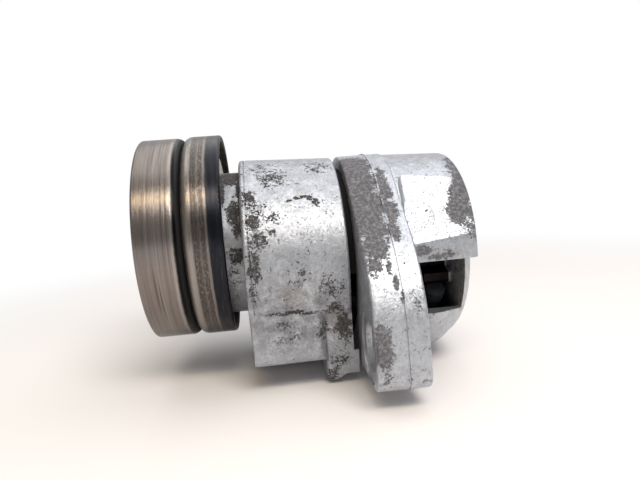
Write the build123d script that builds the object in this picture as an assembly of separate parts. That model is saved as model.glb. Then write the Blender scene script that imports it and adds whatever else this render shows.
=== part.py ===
from build123d import *
import os
from math import cos, pi, radians, sin, sqrt

# A short arm belt tensioner: a die-cast base, a die-cast arm that swings in it against a coil
# spring, and a smooth two-shell pulley on a ball bearing, set off the pivot.
# Millimetres, +X along the pivot axis away from the pulley, +Z up.
# The origin is midway between the two bolt holes, on the face that meets the engine.

# Axes
BOLT_HALF_SPACING = 42.3
PIVOT_Z = 20.2
ECCENTRICITY = 9.7
PULLEY_Z = PIVOT_Z + ECCENTRICITY

# Stations along the axis
PULLEY_FRONT_X = -77.1
PULLEY_WIDTH = 25.1
PULLEY_REAR_X = PULLEY_FRONT_X + PULLEY_WIDTH
SHELL_JOINT_X = PULLEY_FRONT_X + 13.5
NECK_FRONT_X = -53.6
ARM_FRONT_X = -47.1
ARM_REAR_X = -16.9
FLANGE_FRONT_X = -14.7
PARTING_X = -5.8
CAVITY_END_X = 17.9
CUP_END_X = 21.5
HOOD_END_X = 22.4

# Base casting
FLANGE_R = 32.6
FLANGE_DRAFT = 0.8
CUP_R = 32.2
CUP_TAPER = 0.04
CUP_ROUNDING = 8.0
BELLY_DROP = 3.2
BELLY_ROUNDING = 14.0
CAVITY_R = 28.2
LUG_TOP_Z = 9.5
LUG_BOTTOM_Z = -10.4
LUG_FACE_Y = 51.4
LUG_LEAN = 2.3
LUG_TOE_R = 5.0
LUG_LEAVE_ANGLE = 42.2
LUG_SHOULDER = (-36.0, 31.9)
LUG_MIDDLE = (-45.2, 22.4)
LUG_HEEL_Y = -22.0
LUG_ROOT = (-10.0, -8.0)
FLANGE_EDGE_R = 0.6
BEAD_WIDTH = 0.5
BEAD_HEIGHT = 0.3
BOLT_HOLE_R = 5.5
BOLT_HOLE_CHAMFER = 1.4
SPOT_FACE_R = 10.2
SPOT_FACE_DEPTH = 0.6
TUBE_R = 14.0
TUBE_BORE_R = 10.5
WASHER_SEAT_R = 14.6
WASHER_SEAT_DEPTH = 2.2
HOOD_ROUNDING = 2.6
HOOD_FACET_DISTANCE = 29.9
HOOD_FACET_ANGLE = 31.0
HOOD_FACET_START_X = 0.4
HOOD_TOP_ANGLE = 112.0
HOOD_ROOT_RADIUS = 2.4
WINDOW_FRONT_X = 1.9
WINDOW_BOTTOM = -16.5
WINDOW_DEPTH_Y = -17.0

# Arm casting
ARM_FRONT_R = 33.5
ARM_REAR_R = 32.3
ARM_WALL_END_X = -42.6
NECK_R = 23.3
NECK_LIFT = 6.4
HUB_R = 12.5
HUB_FRONT_X = -57.6
SPIGOT_R = 8.5
SPIGOT_FRONT_X = -68.8
BOLT_THREAD_R = 5.0
BOLT_HOLE_END_X = -45.6
PIN_BORE_START_X = -39.1
PAD_FRONT_FACE_Y = -31.2
PAD_REAR_FACE_Y = -30.6
PAD_BOTTOM = -27.5
PAD_TOP = -11.0
PAD_LENGTH = 21.6
PAD_SETBACK = 0.6
PAD_INNER_Y = -10.0
PAD_EDGE_R = 2.6
RIM_GROOVE_X = -45.6
RIM_GROOVE_WIDTH = 0.45
RIM_GROOVE_DEPTH = 0.7
LOBE_FRONT_X = -25.2
LOBE_REAR_X = -15.4
LOBE_FACE_Y = -29.0
LOBE_INNER_Y = -8.0
LOBE_TOP = -11.0
LOBE_LEDGE = -24.8
LOBE_FOOT_Y = -27.4
LOBE_BOTTOM = -35.2
LOBE_TOE_END_X = -22.6
LOBE_HEEL_START_X = -19.4
LOBE_HEEL_BOTTOM = -32.8
LOBE_EDGE_R = 2.2
LOBE_FRONT_EDGE_R = 1.0
LOBE_CLEAR_R = 38.4

# Stops, damper and spring
KEY_INNER_R = 25.4
KEY_REACH_X = -11.6
KEY_CLEAR = 0.5
ARM_KEY_START = 200.0
ARM_KEY_SWEEP = 16.0
ARM_TRAVEL = 55.0
STOP_GAP = 0.7
BASE_KEY_SWEEP = 13.0
SPRING_RIB_SWEEP = 10.0
SPRING_RIB_GAP = 1.0
SPRING_RIB_R = 19.4
WALL_BITE = 0.6
DAMPER_GAP_MARGIN = 1.5
DAMPER_R = 28.1
DAMPER_INNER_R = 25.2
DAMPER_FRONT_X = -22.0
DAMPER_REAR_X = -9.8
SPRING_WIRE_R = 3.2
SPRING_COIL_R = 21.3
SPRING_START_X = -38.6
SPRING_END_X = 12.3
SPRING_TURNS = 4.5
SPRING_START_ANGLE = 33.0

# Pivot hardware
PIN_R = 8.0
RUNNING_CLEARANCE = 0.05
PIN_HEAD_R = 10.2
PIN_HEAD_LENGTH = 1.3
RETAINER_R = 13.9
RETAINER_THICKNESS = 1.5

# Pulley
PULLEY_REAR_R = 32.5
PULLEY_WORN_R = 32.3
SHEET = 2.0
BEND_R = 2.6
COLLAR_R = 21.8
LIP_R = 18.4
LIP_THICKNESS = 1.5
RIVET_COUNT = 6
RIVET_PITCH_R = 26.2
RIVET_SHANK_R = 2.0
RIVET_HEAD_R = 3.0
RIVET_HEAD_HEIGHT = 1.1
RIVET_HEAD_ROUNDING = 0.75

# Ball bearing
BEARING_OUTER_R = 20.0
BEARING_WIDTH = 12.0
OUTER_RING_INNER_R = 17.0
INNER_RING_OUTER_R = 11.6
BALL_R = 3.4
BALL_PITCH_R = 14.3
BALL_COUNT = 8
GROOVE_CLEARANCE = 0.04
SEAL_THICKNESS = 0.8
SEAL_INSET = 0.4
SEAL_GAP = 0.25
SEAL_BITE = 0.7
CAGE_INNER_R = 13.4
CAGE_OUTER_R = 15.2
CAGE_HALF_WIDTH = 4.2
POCKET_R = 3.5

# Fasteners and shields of the pulley
BOLT_FLANGE_R = 10.2
BOLT_FLANGE_THICKNESS = 1.6
BOLT_HEX_ACROSS = 14.0
BOLT_HEX_HEIGHT = 6.2
BOLT_HEX_CHAMFER = 1.0
FRONT_SHIELD_SEAT = 1.2
FRONT_SHIELD_R = 17.6
REAR_SHIELD_R = 26.0
REAR_SHIELD_THICKNESS = 1.5
REAR_SHIELD_LIP = 2.0


# Helpers

def disc(x0, x1, radius, y=0.0, z=PIVOT_Z):
    """Cylinder along X from x0 to x1."""
    return extrude(Plane.YZ.offset(x0) * Pos(y, z) * Circle(radius), amount=x1 - x0)


def ring(x0, x1, outer, inner, z=PIVOT_Z):
    return disc(x0, x1, outer, z=z) - disc(x0, x1, inner, z=z)


def block(x0, x1, y0, y1, z0, z1):
    """Box between two corners, heights taken from the pivot."""
    size = (x1 - x0, y1 - y0, z1 - z0)
    centre = ((x0 + x1) / 2, (y0 + y1) / 2, PIVOT_Z + (z0 + z1) / 2)
    return Pos(*centre) * Box(*size)


def turned(points, z=PIVOT_Z, rounded=()):
    """Solid of revolution from (x, radius) points about the axis at height z.

    rounded lists (point number, radius) for the corners that are rounded."""
    face = make_face(Polyline(*points, close=True))
    for number, radius in rounded:
        corner = Vector(*points[number])
        nearest = face.vertices().sort_by_distance(corner)[0]
        face = fillet(nearest, radius)
    profile = Plane((0, 0, z), x_dir=(1, 0, 0), z_dir=(0, -1, 0)) * face
    return revolve(profile, Axis((0, 0, z), (1, 0, 0)))


def fan(x0, x1, reach, start, sweep):
    """Wedge from the pivot axis outwards, its angles counted from +Y towards +Z."""
    corners = [(0, 0)]
    for k in range(5):
        angle = radians(start + sweep * k / 4)
        corners.append((reach * cos(angle), reach * sin(angle)))
    outline = make_face(Polyline(*corners, close=True))
    return extrude(Plane.YZ.offset(x0) * Pos(0, PIVOT_Z) * outline, amount=x1 - x0)


def sector(x0, x1, outer, inner, start, sweep):
    """Piece of a ring about the pivot."""
    return ring(x0, x1, outer, inner) & fan(x0, x1, outer * 1.5, start, sweep)


# Base

def lug_outline():
    """Outline of the near lug in the (y, z) plane, its root inside the flange's ring."""
    leaving = radians(LUG_LEAVE_ANGLE)
    leave = (-FLANGE_R * sin(leaving), PIVOT_Z + FLANGE_R * cos(leaving))
    corner = (-LUG_FACE_Y, LUG_TOP_Z)
    toe = (-LUG_FACE_Y - LUG_LEAN, LUG_BOTTOM_Z)
    heel = (LUG_HEEL_Y, LUG_BOTTOM_Z)
    above_root = (LUG_ROOT[0], PIVOT_Z)
    edges = [
        Line(leave, LUG_SHOULDER),
        ThreePointArc(LUG_SHOULDER, LUG_MIDDLE, corner),
        Line(corner, toe),
        Line(toe, heel),
        Line(heel, LUG_ROOT),
        Line(LUG_ROOT, above_root),
        Line(above_root, leave),
    ]
    face = make_face(edges)
    near_toe = face.vertices().sort_by_distance(Vector(*toe))[0]
    return fillet(near_toe, LUG_TOE_R)


def flange_half(depth):
    """Ring, belly and lugs from the parting line to one face, drafted and with rounded edges."""
    far_end = 0 if depth < 0 else -1
    round_part = Pos(0, PIVOT_Z) * Circle(FLANGE_R)
    belly = Pos(0, PIVOT_Z - BELLY_DROP) * Circle(FLANGE_R)
    pieces = []
    for outline in (round_part, belly, lug_outline()):
        solid = extrude(Plane.YZ.offset(PARTING_X) * outline, amount=depth, taper=FLANGE_DRAFT)
        rim = solid.faces().sort_by(Axis.X)[far_end].edges()
        pieces.append(fillet(rim, FLANGE_EDGE_R))
    near_lug = pieces[-1]
    return pieces[0] + pieces[1] + near_lug + mirror(near_lug, Plane.XZ)


def parting_bead():
    """Thin raised line that the die leaves round the flange."""
    start = PARTING_X - BEAD_WIDTH / 2
    share = 1 + BEAD_HEIGHT / FLANGE_R
    grown = Pos(0, PIVOT_Z) * scale(Pos(0, -PIVOT_Z) * lug_outline(), share)
    near_lug = extrude(Plane.YZ.offset(start) * grown, amount=BEAD_WIDTH)
    round_part = disc(start, start + BEAD_WIDTH, FLANGE_R + BEAD_HEIGHT)
    belly = Pos(0, 0, -BELLY_DROP) * round_part
    return round_part + belly + near_lug + mirror(near_lug, Plane.XZ)


def flange():
    return flange_half(FLANGE_FRONT_X - PARTING_X) + flange_half(-PARTING_X) + parting_bead()


def cup_form(end_x, rounding):
    """Tapered drum behind the flange with a rounded end."""
    start_x = -1.0
    end_r = CUP_R - CUP_TAPER * (end_x - start_x)
    points = [(start_x, 0), (start_x, CUP_R), (end_x, end_r), (end_x, 0)]
    return turned(points, rounded=[(2, rounding)])


def hood():
    """Squared block on the near upper side of the cup, with a flat on its shoulder."""
    drum = cup_form(HOOD_END_X, HOOD_ROUNDING)
    body = drum & fan(-1.0, HOOD_END_X + 1.0, 2 * CUP_R, 180.0 - HOOD_TOP_ANGLE, HOOD_TOP_ANGLE)
    return body - hood_trim()


def hood_trim():
    """What the flat on the hood leaves out, its front end swept up in a hollow curve."""
    rise = radians(HOOD_FACET_ANGLE)
    away = Vector(0, -cos(rise), sin(rise))
    start = Vector(HOOD_FACET_START_X, 0, PIVOT_Z) + away * HOOD_FACET_DISTANCE
    side = Plane(start, x_dir=(1, 0, 0), z_dir=Vector(1, 0, 0).cross(away))
    root = HOOD_ROOT_RADIUS
    edges = [
        RadiusArc((0, root), (root, 0), -root),
        Line((root, 0), (30, 0)),
        Line((30, 0), (30, 8)),
        Line((30, 8), (0, 8)),
        Line((0, 8), (0, root)),
    ]
    return extrude(side * make_face(edges), amount=20, both=True)


def spring_rib(x0, x1, start):
    """Rib on the tube that the end of the spring bears on."""
    return sector(x0, x1, SPRING_RIB_R, TUBE_R - WALL_BITE, start, SPRING_RIB_SWEEP)


def base_key_starts():
    """Start angles of the two keys in the base that stop the arm's key at each end."""
    arm_key_end = ARM_KEY_START + ARM_KEY_SWEEP
    return ARM_KEY_START - STOP_GAP - BASE_KEY_SWEEP, arm_key_end + ARM_TRAVEL + STOP_GAP


def cup():
    """Drum with the hood on its near shoulder and a lower, fuller belly."""
    belly = Pos(0, 0, -BELLY_DROP) * cup_form(CUP_END_X, BELLY_ROUNDING)
    return (cup_form(CUP_END_X, CUP_ROUNDING) - hood_trim()) + belly + hood()


def base_housing():
    body = flange() + cup()
    body -= disc(FLANGE_FRONT_X - 1, CAVITY_END_X, CAVITY_R)
    body += disc(FLANGE_FRONT_X, CUP_END_X - WASHER_SEAT_DEPTH, TUBE_R)
    end_angle = (SPRING_START_ANGLE - 360.0 * SPRING_TURNS) % 360.0
    rib_start = end_angle - SPRING_RIB_GAP - SPRING_RIB_SWEEP
    body += spring_rib(SPRING_END_X - SPRING_WIRE_R, CAVITY_END_X, rib_start)
    for start in base_key_starts():
        body += sector(
            FLANGE_FRONT_X, KEY_REACH_X + 1, CAVITY_R + WALL_BITE, KEY_INNER_R, start, BASE_KEY_SWEEP
        )
    body -= disc(FLANGE_FRONT_X - 1, CUP_END_X + 2, TUBE_BORE_R)
    body -= disc(CUP_END_X - WASHER_SEAT_DEPTH, CUP_END_X + 2, WASHER_SEAT_R)
    body -= block(WINDOW_FRONT_X, CAVITY_END_X, -CUP_R - 5, WINDOW_DEPTH_Y, WINDOW_BOTTOM, 0.0)
    for side in (-1, 1):
        y = side * BOLT_HALF_SPACING
        body -= disc(FLANGE_FRONT_X - 1, 1, BOLT_HOLE_R, y, 0.0)
        seat_x = FLANGE_FRONT_X + SPOT_FACE_DEPTH
        body -= disc(FLANGE_FRONT_X - 1, seat_x, SPOT_FACE_R, y, 0.0)
        wide = BOLT_HOLE_R + BOLT_HOLE_CHAMFER
        cone = Cone(wide, BOLT_HOLE_R, BOLT_HOLE_CHAMFER, rotation=(0, 90, 0))
        body -= Pos(seat_x + BOLT_HOLE_CHAMFER / 2, y, 0.0) * cone
    return body


def pivot_bushing():
    rear = CUP_END_X - WASHER_SEAT_DEPTH
    return ring(FLANGE_FRONT_X, rear, TUBE_BORE_R, PIN_R + RUNNING_CLEARANCE)


def damper_ring():
    """Open friction ring seated in the base, its gap left for the stop keys."""
    key_starts = base_key_starts()
    gap_start = key_starts[0] - DAMPER_GAP_MARGIN
    gap_end = key_starts[1] + BASE_KEY_SWEEP + DAMPER_GAP_MARGIN
    whole = ring(DAMPER_FRONT_X, DAMPER_REAR_X, DAMPER_R, DAMPER_INNER_R)
    half = (gap_end - gap_start) / 2
    for start in (gap_start, gap_start + half):
        whole -= sector(
            DAMPER_FRONT_X - 1, DAMPER_REAR_X + 1, DAMPER_R + 1, DAMPER_INNER_R - 1, start, half
        )
    return whole


def torsion_spring():
    length = SPRING_END_X - SPRING_START_X
    pitch = length / SPRING_TURNS
    path = Helix(pitch, length, SPRING_COIL_R, lefthand=True)
    section = Plane(path @ 0, z_dir=path % 0) * Circle(SPRING_WIRE_R)
    coil = sweep(section, path)
    turn = Rot(0, 0, SPRING_START_ANGLE) * coil
    along_x = Location(Plane((SPRING_START_X, 0, PIVOT_Z), x_dir=(0, 1, 0), z_dir=(1, 0, 0)))
    return along_x * turn


def thrust_washer():
    gap = 0.05
    return ring(ARM_REAR_X + gap, FLANGE_FRONT_X - gap, TUBE_R, PIN_R + RUNNING_CLEARANCE)


# Arm

def arm_outer():
    points = [(ARM_FRONT_X, 0), (ARM_FRONT_X, ARM_FRONT_R), (ARM_REAR_X, ARM_REAR_R), (ARM_REAR_X, 0)]
    return turned(points, rounded=[(1, 1.0), (2, 0.8)])


def wrench_pad():
    """Flat-sided pad low on the near side, where a spanner pushes the arm round."""
    front = ARM_FRONT_X + PAD_SETBACK
    rear = front + PAD_LENGTH
    corners = [
        (front, PAD_INNER_Y), (front, PAD_FRONT_FACE_Y), (rear, PAD_REAR_FACE_Y), (rear, PAD_INNER_Y),
    ]
    plan = Plane.XY.offset(PIVOT_Z + PAD_BOTTOM) * make_face(Polyline(*corners, close=True))
    pad = extrude(plan, amount=PAD_TOP - PAD_BOTTOM)
    lower_middle = ((front + rear) / 2, PAD_FRONT_FACE_Y, PIVOT_Z + PAD_BOTTOM)
    end_middle = (rear, PAD_REAR_FACE_Y, PIVOT_Z + (PAD_BOTTOM + PAD_TOP) / 2)
    rounded = [pad.edges().sort_by_distance(place)[0] for place in (lower_middle, end_middle)]
    return fillet(rounded, PAD_EDGE_R)


def stop_lobe():
    """Foot under the arm's rear edge: upright near face, a ledge, and a toe lower than its heel."""
    across = [
        (LOBE_FACE_Y, LOBE_TOP), (LOBE_FACE_Y, LOBE_LEDGE), (LOBE_FOOT_Y, LOBE_BOTTOM),
        (LOBE_INNER_Y, LOBE_BOTTOM), (LOBE_INNER_Y, LOBE_TOP),
    ]
    along = [
        (LOBE_FRONT_X, LOBE_TOP), (LOBE_FRONT_X, LOBE_BOTTOM), (LOBE_TOE_END_X, LOBE_BOTTOM),
        (LOBE_HEEL_START_X, LOBE_HEEL_BOTTOM), (LOBE_REAR_X, LOBE_HEEL_BOTTOM), (LOBE_REAR_X, LOBE_TOP),
    ]
    outline = make_face(Polyline(*across, close=True))
    for corner in ((LOBE_FOOT_Y, LOBE_BOTTOM), (LOBE_INNER_Y, LOBE_BOTTOM)):
        nearest = outline.vertices().sort_by_distance(Vector(*corner))[0]
        outline = fillet(nearest, LOBE_EDGE_R)
    section = Plane.YZ.offset(LOBE_FRONT_X) * Pos(0, PIVOT_Z) * outline
    lobe = extrude(section, amount=LOBE_REAR_X - LOBE_FRONT_X)
    lobe = fillet(lobe.faces().sort_by(Axis.X)[0].edges(), LOBE_FRONT_EDGE_R)
    side = Plane.XZ * Pos(0, PIVOT_Z) * make_face(Polyline(*along, close=True))
    return lobe & extrude(side, amount=-2 * LOBE_FACE_Y)


def tensioner_arm():
    body = arm_outer() + disc(NECK_FRONT_X, ARM_FRONT_X + 1, NECK_R, z=PIVOT_Z + NECK_LIFT)
    groove_bottom = ARM_FRONT_R - RIM_GROOVE_DEPTH
    body -= ring(RIM_GROOVE_X, RIM_GROOVE_X + RIM_GROOVE_WIDTH, ARM_FRONT_R + 1, groove_bottom)
    body += wrench_pad() + stop_lobe()
    body -= disc(ARM_WALL_END_X, LOBE_REAR_X + 1, CAVITY_R)
    body -= ring(ARM_REAR_X, LOBE_REAR_X + 1, LOBE_CLEAR_R, TUBE_R + 1)
    body += disc(ARM_WALL_END_X - 1, ARM_REAR_X, TUBE_R)
    body += spring_rib(
        ARM_WALL_END_X, SPRING_START_X + SPRING_WIRE_R, SPRING_START_ANGLE + SPRING_RIB_GAP
    )
    for end_x, outer in ((KEY_REACH_X, CAVITY_R - KEY_CLEAR), (ARM_REAR_X, CAVITY_R + WALL_BITE)):
        body += sector(DAMPER_FRONT_X - 2, end_x, outer, KEY_INNER_R, ARM_KEY_START, ARM_KEY_SWEEP)
    body -= disc(PIN_BORE_START_X, ARM_REAR_X + 1, PIN_R)
    body += disc(HUB_FRONT_X, NECK_FRONT_X + 1, HUB_R, z=PULLEY_Z)
    body += disc(SPIGOT_FRONT_X, HUB_FRONT_X + 1, SPIGOT_R, z=PULLEY_Z)
    body -= disc(SPIGOT_FRONT_X - 1, BOLT_HOLE_END_X, BOLT_THREAD_R, z=PULLEY_Z)
    return body


def pivot_pin():
    """Steel pin pressed into the arm, its far end headed over the retaining washer."""
    washer_x = CUP_END_X - WASHER_SEAT_DEPTH + RUNNING_CLEARANCE
    head_x = washer_x + RETAINER_THICKNESS
    points = [
        (PIN_BORE_START_X, 0),
        (PIN_BORE_START_X, PIN_R),
        (head_x, PIN_R),
        (head_x, PIN_HEAD_R),
        (head_x + PIN_HEAD_LENGTH, PIN_HEAD_R - 1.2),
        (head_x + PIN_HEAD_LENGTH, 0),
    ]
    return turned(points, rounded=[(4, 0.9)])


def retaining_washer():
    x = CUP_END_X - WASHER_SEAT_DEPTH + RUNNING_CLEARANCE
    return ring(x, x + RETAINER_THICKNESS, RETAINER_R, PIN_R)


# Pulley

def stamped_shell(rim_x, rim_r):
    """Pressed steel cup: rim, bend, web and the collar that holds half of the bearing."""
    out = 1 if rim_x > SHELL_JOINT_X else -1
    joint = SHELL_JOINT_X
    seat_end = joint + out * BEARING_WIDTH / 2
    lip_end = seat_end + out * LIP_THICKNESS
    web = joint + out * SHEET
    points = [
        (rim_x, rim_r),
        (joint, rim_r),
        (joint, BEARING_OUTER_R),
        (seat_end, BEARING_OUTER_R),
        (seat_end, LIP_R),
        (lip_end, LIP_R),
        (lip_end, COLLAR_R),
        (web, COLLAR_R),
        (web, rim_r - SHEET),
        (rim_x, rim_r - SHEET),
    ]
    rounded = [(1, BEND_R), (8, BEND_R - SHEET), (7, 1.2), (6, 1.3), (2, 0.4), (0, 0.7), (9, 0.5)]
    return turned(points, z=PULLEY_Z, rounded=rounded)


def with_rivet_holes(shell):
    for centre in rivet_centres():
        shell -= disc(SHELL_JOINT_X - 6, SHELL_JOINT_X + 6, RIVET_SHANK_R, *centre)
    return shell


def rivet_centres():
    turns = [2 * pi * k / RIVET_COUNT for k in range(RIVET_COUNT)]
    return [(RIVET_PITCH_R * cos(a), PULLEY_Z + RIVET_PITCH_R * sin(a)) for a in turns]


def pulley_rivets():
    rivets = []
    rear_x = SHELL_JOINT_X + SHEET
    front_x = SHELL_JOINT_X - SHEET
    for centre in rivet_centres():
        rivet = disc(front_x, rear_x, RIVET_SHANK_R, *centre)
        front_head = disc(front_x - RIVET_HEAD_HEIGHT, front_x, RIVET_HEAD_R, *centre)
        rear_head = disc(rear_x, rear_x + RIVET_HEAD_HEIGHT, RIVET_HEAD_R, *centre)
        for head, outermost in ((front_head, 0), (rear_head, -1)):
            rim = head.edges().filter_by(GeomType.CIRCLE).sort_by(Axis.X)[outermost]
            rivet += fillet(rim, RIVET_HEAD_ROUNDING)
        rivets.append(rivet)
    return Compound(children=rivets)


# Bearing

def raceway():
    circle = Plane((SHELL_JOINT_X, 0, PULLEY_Z + BALL_PITCH_R), x_dir=(1, 0, 0), z_dir=(0, -1, 0))
    section = circle * Circle(BALL_R + GROOVE_CLEARANCE)
    return revolve(section, Axis((0, 0, PULLEY_Z), (1, 0, 0)))


def bearing_outer_ring():
    half = BEARING_WIDTH / 2
    seal_depth = SEAL_THICKNESS + SEAL_INSET
    front = SHELL_JOINT_X - half
    rear = SHELL_JOINT_X + half
    body = ring(front, rear, BEARING_OUTER_R, OUTER_RING_INNER_R, z=PULLEY_Z)
    for x0 in (front, rear - seal_depth):
        body -= disc(x0, x0 + seal_depth, OUTER_RING_INNER_R + SEAL_BITE, z=PULLEY_Z)
    return body - raceway()


def bearing_inner_ring():
    front = SHELL_JOINT_X - BEARING_WIDTH / 2
    return ring(front, front + BEARING_WIDTH, INNER_RING_OUTER_R, SPIGOT_R, z=PULLEY_Z) - raceway()


def bearing_seal(out):
    outer_x = SHELL_JOINT_X + out * (BEARING_WIDTH / 2 - SEAL_INSET)
    inner_x = outer_x - out * SEAL_THICKNESS
    x0 = min(outer_x, inner_x)
    x1 = max(outer_x, inner_x)
    return ring(x0, x1, OUTER_RING_INNER_R + SEAL_BITE, INNER_RING_OUTER_R + SEAL_GAP, z=PULLEY_Z)


def ball_places():
    turns = [2 * pi * (k + 0.5) / BALL_COUNT for k in range(BALL_COUNT)]
    return [(SHELL_JOINT_X, BALL_PITCH_R * cos(a), PULLEY_Z + BALL_PITCH_R * sin(a)) for a in turns]


def bearing_balls():
    return Compound(children=[Pos(*place) * Sphere(BALL_R) for place in ball_places()])


def bearing_cage():
    """Ring between the races with a round pocket for each ball."""
    front = SHELL_JOINT_X - CAGE_HALF_WIDTH
    rear = SHELL_JOINT_X + CAGE_HALF_WIDTH
    cage = ring(front, rear, CAGE_OUTER_R, CAGE_INNER_R, z=PULLEY_Z)
    for x, y, z in ball_places():
        outwards = Plane((x, y, z), x_dir=(1, 0, 0), z_dir=(0, y, z - PULLEY_Z))
        cage -= outwards * Cylinder(POCKET_R, 2 * BALL_R)
    return cage


# Bolt and shields

def front_dust_shield():
    """Dished steel washer under the bolt head, covering the front of the bearing."""
    seat = SHELL_JOINT_X - BEARING_WIDTH / 2
    front = seat - FRONT_SHIELD_SEAT
    dish = 1.9
    points = [
        (seat, BOLT_THREAD_R),
        (seat, INNER_RING_OUTER_R - 0.9),
        (front - dish + 1.0, INNER_RING_OUTER_R + 2.4),
        (front - dish + 1.0, FRONT_SHIELD_R),
        (front - dish, FRONT_SHIELD_R),
        (front - dish, INNER_RING_OUTER_R + 1.9),
        (front, INNER_RING_OUTER_R - 1.2),
        (front, BOLT_THREAD_R),
    ]
    return turned(points, z=PULLEY_Z)


def pulley_bolt():
    seat = SHELL_JOINT_X - BEARING_WIDTH / 2 - FRONT_SHIELD_SEAT
    flange_x = seat - BOLT_FLANGE_THICKNESS
    bolt = disc(seat, BOLT_HOLE_END_X - 1.0, BOLT_THREAD_R, z=PULLEY_Z)
    bolt += disc(flange_x, seat, BOLT_FLANGE_R, z=PULLEY_Z)
    head_x = flange_x - BOLT_HEX_HEIGHT
    hexagon = RegularPolygon(BOLT_HEX_ACROSS / 2, 6, major_radius=False)
    prism = extrude(Plane.YZ.offset(head_x) * Pos(0, PULLEY_Z) * hexagon, amount=BOLT_HEX_HEIGHT)
    beyond_corners = BOLT_HEX_ACROSS / sqrt(3) + 0.2
    dome = [
        (head_x, 0),
        (head_x, BOLT_HEX_ACROSS / 2 - 0.3),
        (head_x + BOLT_HEX_CHAMFER, beyond_corners),
        (flange_x, beyond_corners),
        (flange_x, 0),
    ]
    return bolt + (prism & turned(dome, z=PULLEY_Z))


def rear_dust_shield():
    """Pale moulded disc on the arm's hub, closing the rear of the pulley."""
    rear = NECK_FRONT_X
    face = rear - REAR_SHIELD_THICKNESS
    points = [
        (rear, HUB_R),
        (rear, REAR_SHIELD_R),
        (rear - REAR_SHIELD_LIP - 0.5, REAR_SHIELD_R),
        (rear - REAR_SHIELD_LIP - 0.5, REAR_SHIELD_R - 1.2),
        (face, REAR_SHIELD_R - 1.2),
        (face, HUB_R),
    ]
    return turned(points, z=PULLEY_Z, rounded=[(1, 0.9)])


PIECES = {
    "base_housing": base_housing,
    "pivot_bushing": pivot_bushing,
    "damper_ring": damper_ring,
    "torsion_spring": torsion_spring,
    "thrust_washer": thrust_washer,
    "tensioner_arm": tensioner_arm,
    "pivot_pin": pivot_pin,
    "retaining_washer": retaining_washer,
    "rear_dust_shield": rear_dust_shield,
    "bearing_inner_ring": bearing_inner_ring,
    "front_dust_shield": front_dust_shield,
    "pulley_bolt": pulley_bolt,
    "bearing_balls": bearing_balls,
    "bearing_cage": bearing_cage,
    "pulley_front_shell": lambda: with_rivet_holes(stamped_shell(PULLEY_FRONT_X, PULLEY_WORN_R)),
    "pulley_rear_shell": lambda: with_rivet_holes(stamped_shell(PULLEY_REAR_X, PULLEY_REAR_R)),
    "pulley_rivets": pulley_rivets,
    "bearing_outer_ring": bearing_outer_ring,
    "bearing_seal_front": lambda: bearing_seal(-1),
    "bearing_seal_rear": lambda: bearing_seal(1),
}

os.makedirs("parts", exist_ok=True)
for name, make in PIECES.items():
    export_step(make(), f"parts/{name}.step")
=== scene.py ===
import math

import bpy
from bpy.props import FloatProperty, FloatVectorProperty, PointerProperty
from mathutils import Matrix, Vector


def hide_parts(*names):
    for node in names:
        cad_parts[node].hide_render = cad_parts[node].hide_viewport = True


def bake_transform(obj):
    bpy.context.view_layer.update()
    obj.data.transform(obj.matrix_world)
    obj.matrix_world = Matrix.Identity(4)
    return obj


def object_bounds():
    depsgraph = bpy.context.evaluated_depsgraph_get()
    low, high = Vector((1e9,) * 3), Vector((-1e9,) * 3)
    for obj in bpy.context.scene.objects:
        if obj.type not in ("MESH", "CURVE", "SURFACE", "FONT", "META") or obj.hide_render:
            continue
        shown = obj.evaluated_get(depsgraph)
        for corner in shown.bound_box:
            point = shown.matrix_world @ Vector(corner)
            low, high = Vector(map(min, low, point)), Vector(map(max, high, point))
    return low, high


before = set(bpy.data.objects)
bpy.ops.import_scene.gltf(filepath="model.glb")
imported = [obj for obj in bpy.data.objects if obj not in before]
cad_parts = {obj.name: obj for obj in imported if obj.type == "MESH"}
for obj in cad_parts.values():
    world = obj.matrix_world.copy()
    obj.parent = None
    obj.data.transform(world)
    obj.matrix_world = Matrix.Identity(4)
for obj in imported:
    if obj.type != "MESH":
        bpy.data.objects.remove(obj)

bl_info = {
    "name": "Belt tensioner finish",
    "version": (1, 0, 0),
    "blender": (4, 5, 0),
    "location": "View3D > Sidebar > Tensioner",
    "description": "Finishes, spring and stage for a used short-arm belt tensioner",
    "category": "Object",
}

MM = 0.001
CAD_BOX = [list(corner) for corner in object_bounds()]

# Heights of the two axes, millimetres
PIVOT_Z = 20.2
PULLEY_Z = 29.9

# Radii and stations along X over which one finish gives way to the next, millimetres
INSIDE_RADIUS = (28.3, 29.3)
BASE_END_WALL = (17.0, 17.6)
ARM_END_WALL = (-46.6, -46.9)
RIM_RADIUS = (31.6, 32.1)
GROOVE_FRONT = (-66.0, -65.6)
GROOVE_REAR = (-63.4, -63.8)
GROOVE_RADIUS = (28.8, 29.4)

# Noise scales, waves per metre
CLOUDS = 110.0
DUST = 140.0
WOBBLE = 160.0
BLOTCHES = 260.0
RUST = 380.0
FLAKES = 400.0
MOTTLE = 640.0
LUMPS = 1100.0
PITS = 1500.0
GRAIN = 2600.0

# Sides of the spring's wire and steps in each of its turns
WIRE_SIDES = 20
STEPS_PER_TURN = 60

# Stage, metres and watts
FLOOR_SIZE = 8.0
SHADOW_REACH = (0.11, 0.30)
LIT_POINT = (-0.02, 0.0, 0.02)
LAMPS = (
    ("Front softbox", (0.09, -0.35, 0.43), (0.30, 0.22), 1.55, (0.99, 0.99, 1.0)),
    ("Overhead softbox", (0.06, 0.14, 0.60), (0.80, 0.80), 2.5, (1.0, 1.0, 1.0)),
    ("Strip lamp", (-0.06, -0.35, 0.43), (0.50, 0.045), 0.72, (1.0, 0.80, 0.46)),
)
CAMERA_RIGHT = (0.9918, -0.1057, -0.0722)
CAMERA_FORWARD = (0.0949, 0.9858, -0.1386)
SENSOR_WIDTH = 36.0


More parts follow.
